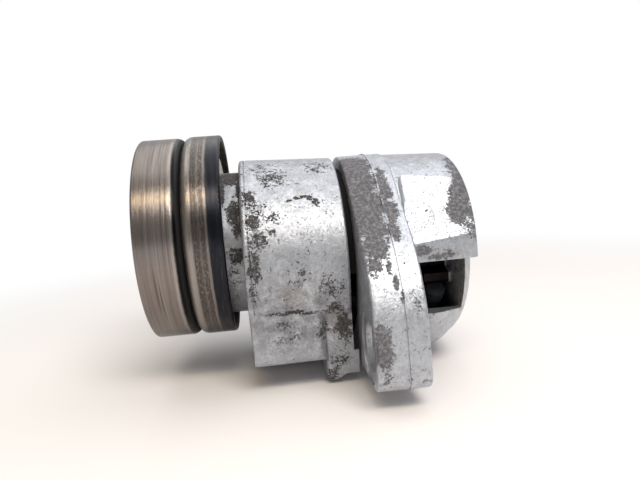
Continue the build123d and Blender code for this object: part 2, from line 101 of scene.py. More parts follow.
def colour(name, description, value):
    return FloatVectorProperty(
        name=name, description=description, default=value, size=3, min=0.0, max=1.0, subtype="COLOR"
    )


def length(name, description, value):
    return FloatProperty(name=name, description=description, default=value, unit="LENGTH", precision=5)


def share(name, description, value):
    return FloatProperty(
        name=name, description=description, default=value, min=0.0, max=1.0, subtype="FACTOR"
    )


class CastingLook(bpy.types.PropertyGroup):
    """Die-cast aluminium of the base and the arm."""

    skin: colour("Skin", "Clean cast surface", (0.54, 0.563, 0.61))
    shade: colour("Dull skin", "Oxidised, handled surface", (0.435, 0.452, 0.492))
    bright: colour("Bright metal", "Rubbed and machined metal", (0.74, 0.75, 0.78))
    pits: colour("Pits", "Dirt in the pits of the skin", (0.15, 0.145, 0.14))
    grime: colour("Grime", "Baked-on belt dust and oil", (0.106, 0.105, 0.118))
    caked: colour("Caked grime", "Grime where it lies thick", (0.230, 0.229, 0.248))
    soot: colour("Dark grime", "Darker grime of the arm", (0.046, 0.041, 0.038))
    # The film tone also paints shade on the arm's lower front, where the film patches lie.
    film: colour("Film", "Thin oily film under the grime", (0.190, 0.190, 0.206))
    rust: colour("Rust", "Dark part of the brown stain", (0.20, 0.165, 0.14))
    # Light rust is pale partly as real pale rust and partly to paint the light falling on the window's end
    # wall.
    pale_rust_and_painted_light: colour("Light rust", "Pale part of the brown stain", (0.52, 0.465, 0.415))
    # Oil and grease paint the inside of the spring chamber near-black. This is partly grease and partly
    # painted shade.
    oil: colour("Oil", "Oily black of the inside", (0.006, 0.005, 0.005))
    grease: colour("Grease", "Greasy dust of the inside", (0.022, 0.019, 0.018))
    specks: share("Specks", "How much of the clean skin is speckled", 0.02)
    roughness: share("Roughness", "Roughness of the clean skin", 0.37)


class PulleyLook(bpy.types.PropertyGroup):
    """Pressed steel shells of the pulley."""

    steel: colour("Belt track", "Steel polished by the belt", (0.250, 0.216, 0.198))
    worn: colour("Worn middle", "Paler steel in the middle of the track", (0.29, 0.256, 0.236))
    # The polished tone is also used as a painted highlight on the front shell's bend.
    polished: colour("Polished line", "Brightest lines of the track", (0.40, 0.365, 0.335))
    grey: colour("Grey line", "Duller steel at the edges of the track", (0.19, 0.172, 0.158))
    dull: colour("Dull line", "Rust and rubber ground into the track", (0.095, 0.082, 0.074))
    blue: colour("Blued bend", "Blued steel beside the groove", (0.070, 0.076, 0.100))
    paint: colour("Black coat", "Coating left beside the track", (0.020, 0.022, 0.030))
    black: colour("Groove", "Black dirt in the groove", (0.004, 0.004, 0.005))
    oxide: colour("Inside", "Dark oxide inside the shells", (0.024, 0.023, 0.024))
    rust: colour("Rust", "Rust inside the shells", (0.085, 0.058, 0.042))
    roughness: share("Roughness", "Roughness of the belt track", 0.21)


class SpringLook(bpy.types.PropertyGroup):
    """Coil spring between the base and the arm."""

    steel: colour("Spring steel", "Bluish rolled wire", (0.085, 0.095, 0.115))
    stain: colour("Stain", "Oily stain on the wire", (0.045, 0.040, 0.038))
    wire: length("Wire radius", "Half the wire's thickness", 3.2 * MM)
    coil: length("Coil radius", "Axis to the middle of the wire", 21.3 * MM)
    arm_end: length("Arm end", "Station of the end in the arm", -38.6 * MM)
    base_end: length("Base end", "Station of the end in the base", 12.3 * MM)
    turns: FloatProperty(name="Turns", description="Turns of the coil", default=4.5, min=1.0)
    start: FloatProperty(
        name="Start angle", description="Where the wire starts in the arm",
        default=math.radians(33.0), subtype="ANGLE",
    )


class StageLook(bpy.types.PropertyGroup):
    """Floor, lamps and camera."""

    floor: colour("Floor", "Pale floor under the part", (0.95, 0.915, 0.905))
    floor_height: length("Floor height", "Height of the floor", CAD_BOX[0][2] - 0.1 * MM)
    eye: FloatVectorProperty(
        name="Eye", description="Place of the camera", size=3, subtype="TRANSLATION",
        default=(-39.80 * MM, -185.28 * MM, 50.94 * MM),
    )
    lens: FloatProperty(name="Lens", description="Focal length", default=30.74, unit="CAMERA")
    fill: share("Fill light", "Strength of the light from all round", 0.27)


LOOKS = {"casting": CastingLook, "pulley": PulleyLook, "spring": SpringLook, "stage": StageLook}


def settings(name):
    return getattr(bpy.context.scene, "tensioner_" + name)


# Node helpers

def scaled(values):
    return tuple(value * MM for value in values)


def feed(tree, socket, value):
    if isinstance(value, bpy.types.NodeSocket):
        tree.links.new(value, socket)
    elif value is not None:
        socket.default_value = (*value, 1.0) if socket.type == "RGBA" and len(value) == 3 else value


def add(tree, kind, inputs=None, **values):
    """New node with its settings made and its sockets fed by name or number."""
    node = tree.nodes.new(kind)
    for name, value in values.items():
        setattr(node, name, value)
    for key, value in (inputs or {}).items():
        feed(tree, node.inputs[key], value)
    return node


def maths(tree, operation, a, b=None, c=None, clamp=False):
    node = add(tree, "ShaderNodeMath", {0: a, 1: b, 2: c}, operation=operation, use_clamp=clamp)
    return node.outputs[0]


def weighted_sum(tree, a, weight_a, b, weight_b):
    return maths(tree, "MULTIPLY_ADD", a, weight_a, maths(tree, "MULTIPLY", b, weight_b))


def vector_maths(tree, operation, a, b=None):
    node = add(tree, "ShaderNodeVectorMath", {0: a, 1: b}, operation=operation)
    return node.outputs["Value" if operation in ("LENGTH", "DISTANCE") else "Vector"]


def blend_colours(tree, factor, a, b, blend_type="MIX"):
    """Colour sockets of the Mix node are numbers 6 and 7, and its result number 2."""
    node = add(tree, "ShaderNodeMix", {0: factor, 6: a, 7: b}, data_type="RGBA", blend_type=blend_type)
    return node.outputs[2]


def blend_values(tree, factor, a, b):
    """Value sockets of the Mix node are numbers 2 and 3, and its result number 0."""
    return add(tree, "ShaderNodeMix", {0: factor, 2: a, 3: b}, data_type="FLOAT").outputs[0]


def smooth(tree, value, low, high, to_low=0.0, to_high=1.0):
    node = add(
        tree, "ShaderNodeMapRange",
        {"Value": value, "From Min": low, "From Max": high, "To Min": to_low, "To Max": to_high},
        interpolation_type="SMOOTHSTEP",
    )
    return node.outputs["Result"]


def rise(tree, value, span):
    """Nought where a span in millimetres begins and one where it ends, smooth between."""
    return smooth(tree, value, *scaled(span))


def between(tree, value, rising, falling):
    """One between two spans in millimetres, the second written from its far end."""
    return maths(tree, "MULTIPLY", rise(tree, value, rising), rise(tree, value, falling))


def part_way(tree, value, low, high):
    """Plain linear share of the way from low to high."""
    node = add(tree, "ShaderNodeMapRange", {"Value": value, "From Min": low, "From Max": high})
    return node.outputs["Result"]


def noise(tree, position, scale, detail, roughness):
    node = add(
        tree, "ShaderNodeTexNoise",
        {"Vector": position, "Scale": scale, "Detail": detail, "Roughness": roughness},
    )
    return node.outputs["Fac"]


def ramp(tree, factor, stops):
    """Colour ramp from (place, colour) stops."""
    node = add(tree, "ShaderNodeValToRGB", {"Fac": factor})
    elements = node.color_ramp.elements
    while len(elements) < len(stops):
        elements.new(0.5)
    for element, (place, tone) in zip(elements, stops):
        element.position = place
        element.color = (*tone, 1.0)
    return node.outputs["Color"]


def new_group(name, inputs, outputs):
    """Empty shader group with named sockets, its input node and its output node."""
    group = bpy.data.node_groups.new(name, "ShaderNodeTree")
    for direction, sockets in (("INPUT", inputs), ("OUTPUT", outputs)):
        for socket_name, kind, *default in sockets:
            socket = group.interface.new_socket(
                name=socket_name, in_out=direction, socket_type="NodeSocket" + kind
            )
            if default:
                socket.default_value = default[0]
    return group, group.nodes.new("NodeGroupInput"), group.nodes.new("NodeGroupOutput")


# Shared effects

def make_grime_patch():
    """Soft lump of density round a place, laid over the density that is under it."""
    group, given, out = new_group(
        "Grime patch",
        [("Position", "Vector"), ("Centre", "Vector"), ("Reach", "Vector"), ("Strength", "Float", 1.0),
         ("Under", "Float", 0.0)],
        [("Density", "Float")],
    )
    away = vector_maths(group, "SUBTRACT", given.outputs["Position"], given.outputs["Centre"])
    away = vector_maths(group, "DIVIDE", away, given.outputs["Reach"])
    inside = smooth(group, vector_maths(group, "LENGTH", away), 1.45, 0.35)
    lump = maths(group, "MULTIPLY", inside, given.outputs["Strength"])
    feed(group, out.inputs["Density"], maths(group, "MAXIMUM", lump, given.outputs["Under"]))


def make_grime_break_up():
    """Turns a density into flakes with ragged edges, and a stain round them."""
    group, given, out = new_group(
        "Grime break-up",
        [("Position", "Vector"), ("Density", "Float", 0.2), ("Grain", "Float", FLAKES)],
        [("Mask", "Float"), ("Stain", "Float")],
    )
    fine_grain = maths(group, "MULTIPLY", given.outputs["Grain"], 4.0)
    coarse = noise(group, given.outputs["Position"], given.outputs["Grain"], 7.0, 0.78)
    fine = noise(group, given.outputs["Position"], fine_grain, 4.0, 0.75)
    mixed = weighted_sum(group, fine, 0.36, coarse, 0.64)
    stretched = maths(group, "MULTIPLY_ADD", mixed, 1.9, -0.45)
    level = maths(group, "MULTIPLY_ADD", given.outputs["Density"], 0.58, stretched)
    feed(group, out.inputs["Mask"], smooth(group, level, 0.70, 0.77))
    feed(group, out.inputs["Stain"], smooth(group, level, 0.56, 0.76))


def make_cast_skin():
    """Mottled cast surface with pits and fine grain."""
    group, given, out = new_group(
        "Cast skin",
        [("Position", "Vector"), ("Skin", "Color"), ("Dull", "Color"), ("Bright", "Color"),
         ("Pits", "Color"), ("Roughness", "Float", 0.45)],
        [("Colour", "Color"), ("Roughness", "Float"), ("Height", "Float")],
    )
    position = given.outputs["Position"]
    cloud = noise(group, position, CLOUDS, 5.0, 0.65)
    mottle = noise(group, position, MOTTLE, 5.0, 0.7)
    grain = noise(group, position, GRAIN, 3.0, 0.6)
    unpitted = smooth(group, noise(group, position, PITS, 2.0, 0.5), 0.33, 0.41)

    worn = smooth(group, weighted_sum(group, mottle, 0.6, cloud, 0.4), 0.36, 0.62)
    shine = smooth(group, weighted_sum(group, grain, 0.5, mottle, 0.5), 0.52, 0.66)
    dirt = maths(group, "MULTIPLY_ADD", unpitted, -0.30, 0.30)
    tone = blend_colours(group, worn, given.outputs["Dull"], given.outputs["Skin"])
    tone = blend_colours(group, maths(group, "MULTIPLY", shine, 0.30), tone, given.outputs["Bright"])
    feed(group, out.inputs["Colour"], blend_colours(group, dirt, tone, given.outputs["Pits"]))

    smoothest = maths(group, "SUBTRACT", given.outputs["Roughness"], 0.11)
    feed(group, out.inputs["Roughness"], maths(group, "MULTIPLY_ADD", mottle, 0.22, smoothest))
    height = weighted_sum(group, grain, 0.40, mottle, 0.60)
    feed(group, out.inputs["Height"], maths(group, "MULTIPLY_ADD", unpitted, 0.22, height))


def make_about_axis():
    """Station along X, angle and radius about an axis at some height."""
    group, given, out = new_group(
        "About the axis",
        [("Position", "Vector"), ("Axis height", "Float", 0.0)],
        [("Along", "Float"), ("Angle", "Float"), ("Radius", "Float")],
    )
    parts = add(group, "ShaderNodeSeparateXYZ", {0: given.outputs["Position"]})
    y = parts.outputs["Y"]
    z = maths(group, "SUBTRACT", parts.outputs["Z"], given.outputs["Axis height"])
    flat = add(group, "ShaderNodeCombineXYZ", {"Y": y, "Z": z}).outputs[0]
    feed(group, out.inputs["Along"], parts.outputs["X"])
    feed(group, out.inputs["Angle"], maths(group, "ARCTAN2", z, y))
    feed(group, out.inputs["Radius"], vector_maths(group, "LENGTH", flat))


def make_turned_lines():
    """Fine lines that run round the axis, with broken scores and short flecks among them."""
    group, given, out = new_group(
        "Turned lines",
        [("Along", "Float"), ("Angle", "Float"), ("Radius", "Float"), ("Fineness", "Float", 6000.0)],
        [("Lines", "Float"), ("Scores", "Float"), ("Flecks", "Float")],
    )
    across = maths(group, "ADD", given.outputs["Along"], given.outputs["Radius"])
    across = maths(group, "MULTIPLY", across, given.outputs["Fineness"])
    round_about = add(
        group, "ShaderNodeCombineXYZ",
        {"X": across, "Y": maths(group, "COSINE", given.outputs["Angle"]),
         "Z": maths(group, "SINE", given.outputs["Angle"])},
    ).outputs[0]
    broad = vector_maths(group, "MULTIPLY", round_about, (0.22, 3.2, 3.2))
    short = vector_maths(group, "MULTIPLY", round_about, (0.60, 26.0, 26.0))
    feed(group, out.inputs["Lines"], noise(group, round_about, 0.55, 6.0, 0.75))
    feed(group, out.inputs["Scores"], smooth(group, noise(group, broad, 1.0, 4.0, 0.6), 0.52, 0.66))
    feed(group, out.inputs["Flecks"], smooth(group, noise(group, short, 1.0, 4.0, 0.7), 0.50, 0.62))


GROUP_MAKERS = (make_grime_patch, make_grime_break_up, make_cast_skin, make_about_axis, make_turned_lines)


def group_node(tree, name, inputs):
    """Outputs of a shared effect, placed in a tree with its own values."""
    if name not in bpy.data.node_groups:
        for maker in GROUP_MAKERS:
            maker()
    return add(tree, "ShaderNodeGroup", inputs, node_tree=bpy.data.node_groups[name]).outputs


# Materials

def new_material(name):
    """Material with nothing but a shader, and the object's own position for patterns."""
    material = bpy.data.materials.new(name)
    material.use_nodes = True
    tree = material.node_tree
    tree.nodes.clear()
    shader = tree.nodes.new("ShaderNodeBsdfPrincipled")
    add(tree, "ShaderNodeOutputMaterial", {"Surface": shader.outputs["BSDF"]})
    position = tree.nodes.new("ShaderNodeTexCoord").outputs["Object"]
    return material, tree, shader, position


def bump(tree, shader, height, depth, strength=1.0):
    node = add(tree, "ShaderNodeBump", {"Height": height, "Distance": depth, "Strength": strength})
    feed(tree, shader.inputs["Normal"], node.outputs["Normal"])


def about_axis(tree, position, height):
    """Along, Angle and Radius about an axis whose height is in millimetres."""
    return group_node(tree, "About the axis", {"Position": position, "Axis height": height * MM})


def turned_lines(tree, place):
    return group_node(tree, "Turned lines", {key: place[key] for key in ("Along", "Angle", "Radius")})


def patch_density(tree, position, base, patches):
    """Density of all patches laid over an even base."""
    density = base
    for centre, reach, strength in patches:
        density = group_node(tree, "Grime patch", {
            "Position": position, "Centre": scaled(centre), "Reach": scaled(reach),
            "Strength": strength, "Under": density,
        })["Density"]
    return density


def cast_material(name, patches, stains, rust, grime, caked, handled=0.0):
    """Die-cast aluminium with grime, film and rust where the patches say, and grease in the inside. Some
    film patches paint shade on the arm's lower front, the pale rust on the base's window wall also paints
    light, and the near-black inside is partly grease and partly painted shade.
    """
    look = settings("casting")
    material, tree, shader, position = new_material(name)
    skin = group_node(tree, "Cast skin", {
        "Position": position, "Skin": look.skin, "Dull": look.shade, "Bright": look.bright,
        "Pits": look.pits, "Roughness": look.roughness,
    })
    lumps = noise(tree, position, LUMPS, 3.0, 0.6)
    uneven = smooth(tree, noise(tree, position, BLOTCHES, 6.0, 0.75), 0.30, 0.62)

    density = patch_density(tree, position, look.specks, patches)
    flakes = group_node(tree, "Grime break-up", {"Position": position, "Density": density, "Grain": FLAKES})
    mask = flakes["Mask"]
    # Film darkens the skin where the stain patches say. It is partly real oily film and partly painted
    # shade on the arm's lower front.
    film = maths(tree, "MULTIPLY", patch_density(tree, position, handled, stains), uneven)
    film = maths(tree, "MAXIMUM", film, maths(tree, "MULTIPLY", flakes["Stain"], 0.30))
    # Rust patches. On the base's window end wall this rust is laid pale as painted light.
    rust_and_painted_light_mask = maths(tree, "MULTIPLY", patch_density(tree, position, 0.0, rust), uneven)

    rust_tone = blend_colours(tree, smooth(tree, lumps, 0.35, 0.62), look.rust, look.pale_rust_and_painted_light)
    grime_tone = blend_colours(tree, smooth(tree, lumps, 0.40, 0.68), grime, caked)
    tone = blend_colours(tree, film, skin["Colour"], look.film)
    tone = blend_colours(tree, rust_and_painted_light_mask, tone, rust_tone)
    tone = blend_colours(tree, mask, tone, grime_tone)

    # The inside of the spring chamber turns near-black. This is partly grease and partly painted shade.
    place = about_axis(tree, position, PIVOT_Z)
    outside = rise(tree, place["Radius"], INSIDE_RADIUS)
    for end_wall in (BASE_END_WALL, ARM_END_WALL):
        outside = maths(tree, "MAXIMUM", outside, rise(tree, place["Along"], end_wall))
    inside_grease_and_shade = blend_colours(tree, lumps, look.oil, look.grease)
    feed(tree, shader.inputs["Base Color"], blend_colours(tree, outside, inside_grease_and_shade, tone))

    rough = maths(tree, "MULTIPLY_ADD", film, 0.16, skin["Roughness"])
    feed(tree, shader.inputs["Roughness"], blend_values(tree, mask, rough, 0.80))
    bare = maths(tree, "SUBTRACT", outside, maths(tree, "MAXIMUM", mask, rust_and_painted_light_mask), clamp=True)
    bare = maths(tree, "MULTIPLY", bare, maths(tree, "MULTIPLY_ADD", film, -0.45, 0.84))
    feed(tree, shader.inputs["Metallic"], blend_values(tree, outside, 0.92, bare))
    shader.inputs["Specular IOR Level"].default_value = 0.35
    raised = maths(tree, "MULTIPLY_ADD", mask, maths(tree, "MULTIPLY", lumps, 1.1), skin["Height"])
    bump(tree, shader, raised, 0.20 * MM)
    return material


def track_material(name, bands, worn_from, worn_to):
    """Belt-polished pressed steel, its bands as (station, tone), flecked between two stations."""
    look = settings("pulley")
    material, tree, shader, position = new_material(name)
    place = about_axis(tree, position, PULLEY_Z)
    along, radius = place["Along"], place["Radius"]
    lines = turned_lines(tree, place)

    front, rear = bands[0][0], bands[-1][0]
    wobble = noise(tree, position, WOBBLE, 4.0, 0.7)
    shifted = maths(tree, "MULTIPLY_ADD", wobble, 0.5 * MM, maths(tree, "SUBTRACT", along, 0.25 * MM))
    # Band tones by station. On the front shell the polished stops at the bend are a painted highlight.
    stops = [((station - front) / (rear - front), getattr(look, tone)) for station, tone in bands]
    band = ramp(tree, part_way(tree, shifted, front * MM, rear * MM), stops)

    lined = maths(tree, "MULTIPLY_ADD", lines["Lines"], 1.7, -0.05, clamp=True)
    grey = add(tree, "ShaderNodeCombineColor", {"Red": lined, "Green": lined, "Blue": lined}).outputs[0]
    scored = maths(tree, "MULTIPLY", lines["Scores"], 0.22)
    scored = maths(tree, "MAXIMUM", scored, patch_density(tree, position, 0.0, TRACK_STREAKS))
    worn = between(tree, along, (worn_from - 0.2, worn_from + 0.2), (worn_to + 0.2, worn_to - 0.2))
    flecked = maths(tree, "MULTIPLY", maths(tree, "MULTIPLY", worn, lines["Flecks"]), 0.62)
    tone = blend_colours(tree, 0.85, band, grey, "MULTIPLY")
    tone = blend_colours(tree, scored, tone, look.dull)
    tone = blend_colours(tree, flecked, tone, look.steel)

    on_rim = rise(tree, radius, RIM_RADIUS)
    rusted = smooth(tree, noise(tree, position, RUST, 6.0, 0.75), 0.44, 0.62)
    grooved = between(tree, along, GROOVE_FRONT, GROOVE_REAR)
    grooved = maths(tree, "MULTIPLY", grooved, rise(tree, radius, GROOVE_RADIUS))
    inner = blend_colours(tree, rusted, look.oxide, look.rust)
    inner = blend_colours(tree, grooved, inner, look.black)
    feed(tree, shader.inputs["Base Color"], blend_colours(tree, on_rim, inner, tone))

    rough = maths(tree, "MULTIPLY_ADD", lines["Lines"], 0.18, look.roughness - 0.06)
    feed(tree, shader.inputs["Roughness"], blend_values(tree, on_rim, 0.62, rough))
    feed(tree, shader.inputs["Metallic"], blend_values(tree, on_rim, 0.15, 0.85))
    bump(tree, shader, lines["Lines"], 0.12 * MM, 0.6)
    return material


def steel_material(name, tone, stain, roughness, metallic=0.9, stained=0.06, axis=PULLEY_Z, lined=0.5):
    """Turned or rolled steel with stains."""
    material, tree, shader, position = new_material(name)
    lines = turned_lines(tree, about_axis(tree, position, axis))["Lines"]
    cloud = noise(tree, position, BLOTCHES, 6.0, 0.7)
    level = maths(tree, "MULTIPLY_ADD", lines, 0.25, cloud)
    mask = smooth(tree, level, 0.78 - stained, 0.92 - stained)
    feed(tree, shader.inputs["Base Color"], blend_colours(tree, mask, tone, stain))
    feed(tree, shader.inputs["Roughness"], blend_values(tree, mask, roughness, 0.75))
    feed(tree, shader.inputs["Metallic"], blend_values(tree, mask, metallic, metallic * 0.35))
    bump(tree, shader, maths(tree, "MULTIPLY_ADD", lines, lined, cloud), 0.10 * MM, 0.7)
    return material


def moulded_material(name, tone, worn, roughness):
    """Moulded plastic or rubber with a fine texture and dust."""
    material, tree, shader, position = new_material(name)
    fine = noise(tree, position, PITS, 3.0, 0.6)
    mask = smooth(tree, noise(tree, position, DUST, 5.0, 0.7), 0.53, 0.69)
    feed(tree, shader.inputs["Base Color"], blend_colours(tree, mask, tone, worn))
    feed(tree, shader.inputs["Roughness"], blend_values(tree, fine, roughness - 0.08, roughness + 0.08))
    shader.inputs["Specular IOR Level"].default_value = 0.25
    bump(tree, shader, fine, 0.06 * MM, 0.6)
    return material


# Centre, reach and strength of each patch, millimetres

BASE_GRIME = (
    ((-11.2, -14.0, 49.0), (5.2, 9.0, 5.0), 1.20),
    ((-11.0, -21.4, 44.7), (5.2, 8.0, 7.5), 1.20),
    ((-10.8, -29.4, 37.6), (4.9, 7.5, 7.5), 1.20),
    ((-10.6, -35.8, 32.0), (4.5, 6.5, 6.5), 0.98),
    ((-11.0, -40.9, 27.5), (3.8, 5.0, 5.0), 0.80),
    ((-12.4, -44.7, 23.0), (2.6, 3.4, 3.6), 0.62),
    ((-4.0, -20.0, 45.0), (1.7, 6.0, 5.0), 0.70),
    ((-3.9, -25.7, 41.5), (2.1, 6.0, 6.0), 0.80),
    ((-4.0, -31.0, 36.3), (2.2, 6.0, 6.0), 0.80),
    ((-4.6, -36.9, 31.2), (1.8, 4.5, 4.5), 0.64),
    ((-8.6, -45.0, 22.4), (0.9, 2.4, 2.6), 0.62),
    ((-7.3, -47.6, 18.4), (0.9, 2.2, 2.4), 0.66),
    ((-6.2, -49.4, 14.9), (0.8, 2.0, 2.0), 0.58),
    ((-2.1, -50.2, 12.9), (2.0, 2.4, 2.6), 0.24),
    ((-12.6, -51.8, 5.1), (2.4, 3.4, 3.8), 0.88),
    ((-12.4, -52.3, 0.8), (2.5, 3.4, 3.8), 0.84),
    ((-12.2, -52.9, -5.0), (2.6, 2.4, 3.0), 0.36),
    ((-2.5, -53.0, -8.0), (2.0, 2.4, 2.0), 0.24),
    ((20.8, -14.0, 46.0), (3.2, 12.0, 5.0), 0.66),
    ((21.2, -21.0, 40.5), (3.6, 9.0, 8.0), 0.74),
    ((19.0, -24.5, 37.0), (3.4, 6.0, 6.0), 0.80),
    ((17.4, -27.0, 33.6), (3.4, 4.4, 4.2), 0.80),
    ((22.0, -26.0, 33.0), (2.4, 6.0, 5.0), 0.72),
    ((21.0, -29.5, 29.5), (3.2, 4.0, 4.0), 0.52),
    ((4.9, -31.8, 23.6), (2.6, 2.2, 1.7), 0.95),
    ((10.5, -31.6, 21.5), (5.0, 2.2, 1.0), 0.70),
    ((14.5, -31.6, 22.2), (3.4, 2.2, 1.6), 0.30),
    ((-11.5, 16.0, 47.5), (4.4, 12.0, 6.0), 0.78),
    ((-11.0, 32.0, 36.0), (4.0, 9.0, 9.0), 0.52),
    ((-4.0, 24.0, 42.5), (2.2, 9.0, 6.0), 0.56),
    ((-12.5, 50.0, 8.0), (2.4, 5.0, 7.0), 0.50),
    ((12.0, 26.0, 38.0), (6.0, 6.0, 7.0), 0.34),
    ((8.0, 31.0, 12.0), (8.0, 5.0, 8.0), 0.22),
    ((23.0, 12.0, 6.0), (3.0, 12.0, 9.0), 0.30),
    ((4.0, -4.0, -12.0), (16.0, 20.0, 5.0), 0.30),
)

BASE_STAINS = (
    ((-14.9, -30.0, 16.0), (1.3, 34.0, 34.0), 0.70),
    ((-14.5, -43.0, -2.0), (1.6, 8.5, 9.0), 0.55),
    ((-10.5, -30.0, 37.0), (5.0, 16.0, 15.0), 0.50),
    ((8.0, -11.7, 49.6), (18.0, 12.0, 3.5), 0.50),
    ((20.5, -22.0, 38.0), (4.0, 12.0, 14.0), 0.60),
    ((11.0, -31.6, 21.5), (9.0, 2.0, 1.2), 0.30),
    ((21.5, 4.0, 20.0), (3.0, 30.0, 30.0), 0.40),
    ((0.0, 40.0, 20.0), (22.0, 16.0, 30.0), 0.30),
)

BASE_RUST_AND_PAINTED_LIGHT = (
    # The first two patches lay rust on the window's end wall. They are partly real rust and partly painted
    # light: the pale rust stands in for the light that falls in through the window.
    ((17.9, -24.5, 12.0), (0.6, 8.0, 12.0), 1.00),
    ((17.9, -17.0, 9.0), (0.6, 4.0, 5.0), 0.75),
    ((12.0, -31.6, 21.8), (4.0, 2.0, 1.2), 0.35),
)

ARM_GRIME = (
    ((-44.4, -25.4, 41.6), (2.6, 4.4, 4.2), 0.52),
    ((-43.8, -29.4, 35.4), (3.0, 3.8, 3.8), 0.50),
    ((-42.4, -31.7, 30.6), (3.6, 3.0, 3.4), 0.52),
    ((-44.4, -32.9, 25.6), (2.4, 3.0, 3.4), 0.48),
    ((-44.6, -33.4, 21.4), (2.6, 3.0, 3.6), 0.50),
    ((-45.1, -33.1, 15.5), (1.8, 2.0, 3.0), 0.42),
    ((-40.0, -28.6, 37.0), (4.6, 4.0, 6.0), 0.27),
    ((-36.8, -18.7, 47.5), (5.4, 6.0, 3.2), 0.42),
    ((-40.0, -12.0, 50.0), (6.0, 8.0, 3.0), 0.26),
    ((-22.9, -13.1, 50.0), (5.0, 7.0, 3.6), 0.32),
    ((-32.7, -25.7, 40.7), (1.3, 1.0, 0.55), 0.62),
    ((-30.5, -25.1, 41.3), (1.3, 1.0, 0.55), 0.66),
    ((-28.4, -24.8, 41.6), (1.3, 1.0, 0.60), 0.66),
    ((-26.6, -25.2, 40.9), (1.2, 1.2, 0.8), 0.62),
    ((-24.9, -26.2, 39.6), (1.4, 1.8, 1.5), 0.62),
    ((-38.1, -30.8, 32.4), (1.6, 1.8, 1.5), 0.48),
    ((-23.1, -32.1, 15.5), (3.8, 3.0, 5.0), 0.32),
    ((-21.3, -30.3, 8.5), (3.6, 3.4, 3.4), 0.46),
    ((-19.6, -29.0, 3.0), (3.0, 3.6, 5.0), 0.62),
    ((-31.5, -32.8, 20.5), (6.0, 2.6, 6.0), 0.14),
    # These two thin patches darken a line along the crease where the pad's top meets the drum.
    ((-36.0, -30.9, 8.7), (6.5, 2.2, 0.8), 0.50),
    ((-28.0, -30.9, 8.2), (6.0, 2.2, 0.7), 0.50),
    ((-38.0, -31.0, 4.8), (3.6, 2.0, 1.8), 0.24),
    ((-36.0, -30.9, 1.0), (4.0, 2.0, 2.0), 0.28),
    ((-25.8, -30.0, 2.3), (2.2, 2.4, 3.0), 0.46),
    ((-21.3, -28.4, -8.0), (3.6, 3.4, 4.0), 0.38),
    ((-24.0, -27.8, -12.7), (3.0, 3.0, 2.4), 0.44),
    ((-50.5, -10.0, 48.6), (4.4, 9.0, 2.6), 1.05),
    ((-52.6, -15.5, 44.4), (1.0, 6.0, 5.0), 0.90),
    ((-47.4, -17.0, 45.0), (0.9, 10.0, 6.0), 0.80),
    ((-49.0, -20.4, 38.2), (3.0, 5.0, 5.0), 0.74),
    ((-48.6, -21.8, 33.4), (1.8, 3.0, 3.0), 0.60),
    ((-49.4, -23.3, 25.4), (2.8, 4.0, 3.2), 0.58),
    ((-51.0, -22.0, 19.5), (3.0, 3.8, 5.0), 0.27),
    ((-30.0, 10.0, 51.5), (10.0, 7.0, 3.0), 0.30),
    ((-43.0, 24.0, 40.0), (4.0, 8.0, 9.0), 0.46),
    ((-22.0, 29.0, 33.0), (4.5, 5.0, 8.0), 0.42),
    ((-34.0, 32.0, 14.0), (9.0, 4.0, 6.0), 0.24),
    ((-45.0, 30.0, 10.0), (2.6, 6.0, 8.0), 0.46),
    ((-50.0, 16.0, 40.0), (3.4, 8.0, 8.0), 0.60),
    ((-34.0, 4.0, -12.0), (12.0, 14.0, 5.0), 0.32),
)

ARM_FILM_AND_LOW_SHADE = (
    # The first two patches darken the arm's lower front. This is partly oily film and dirt and partly
    # painted shade: the shade where the lower faces look onto the shadowed floor, and the lug's shadow on
    # the lower right.
    ((-33.0, -30.0, 8.0), (22.0, 9.0, 16.0), 0.86),
    ((-22.0, -28.0, 1.0), (7.0, 8.0, 16.0), 0.55),
    ((-44.0, -30.0, 30.0), (3.2, 8.0, 14.0), 0.55),
    ((-36.0, -17.0, 48.0), (11.0, 8.0, 4.0), 0.35),
    ((-52.0, -22.0, 32.0), (3.5, 6.0, 8.0), 0.45),
    ((-30.0, 20.0, 20.0), (20.0, 14.0, 30.0), 0.30),
)

ARM_RUST = (
    ((-32.6, -32.4, 13.4), (4.5, 2.0, 3.2), 0.38),
    ((-51.2, -23.2, 28.2), (2.0, 2.0, 1.4), 0.60),
    ((-20.5, -29.0, 4.0), (3.4, 3.0, 6.0), 0.45),
)

TRACK_STREAKS = (
    ((-72.2, -30.0, 18.0), (0.28, 7.0, 8.0), 0.80),
    ((-71.2, -28.5, 15.0), (0.24, 7.0, 7.5), 0.80),
    ((-71.4, -15.0, 56.0), (0.30, 10.0, 5.0), 0.60),
    ((-69.6, -14.0, 57.0), (0.24, 8.0, 4.0), 0.50),
)

# Station and tone of each band across the belt track, millimetres

FRONT_BANDS = (
    (-77.1, "grey"), (-76.4, "steel"), (-72.5, "steel"), (-70.8, "worn"), (-69.0, "steel"),
    # The two polished stops at the bend beside the groove are a painted highlight that runs all round the
    # bend.
    (-67.0, "steel"), (-66.6, "polished"), (-66.1, "polished"), (-65.8, "dull"), (-65.5, "black"),
    (-63.6, "black"),
)

REAR_BANDS = (
    (-64.2, "black"), (-63.9, "black"), (-63.6, "blue"), (-63.2, "grey"), (-62.4, "steel"),
    (-61.4, "polished"), (-60.6, "steel"), (-60.3, "dull"), (-58.8, "dull"), (-58.5, "grey"),
    (-58.2, "dull"), (-57.0, "dull"), (-56.8, "steel"), (-56.3, "grey"), (-56.0, "paint"),
    (-52.0, "paint"),
)

# Node, finish, clean tone, stain, roughness, stained share and height of the axis

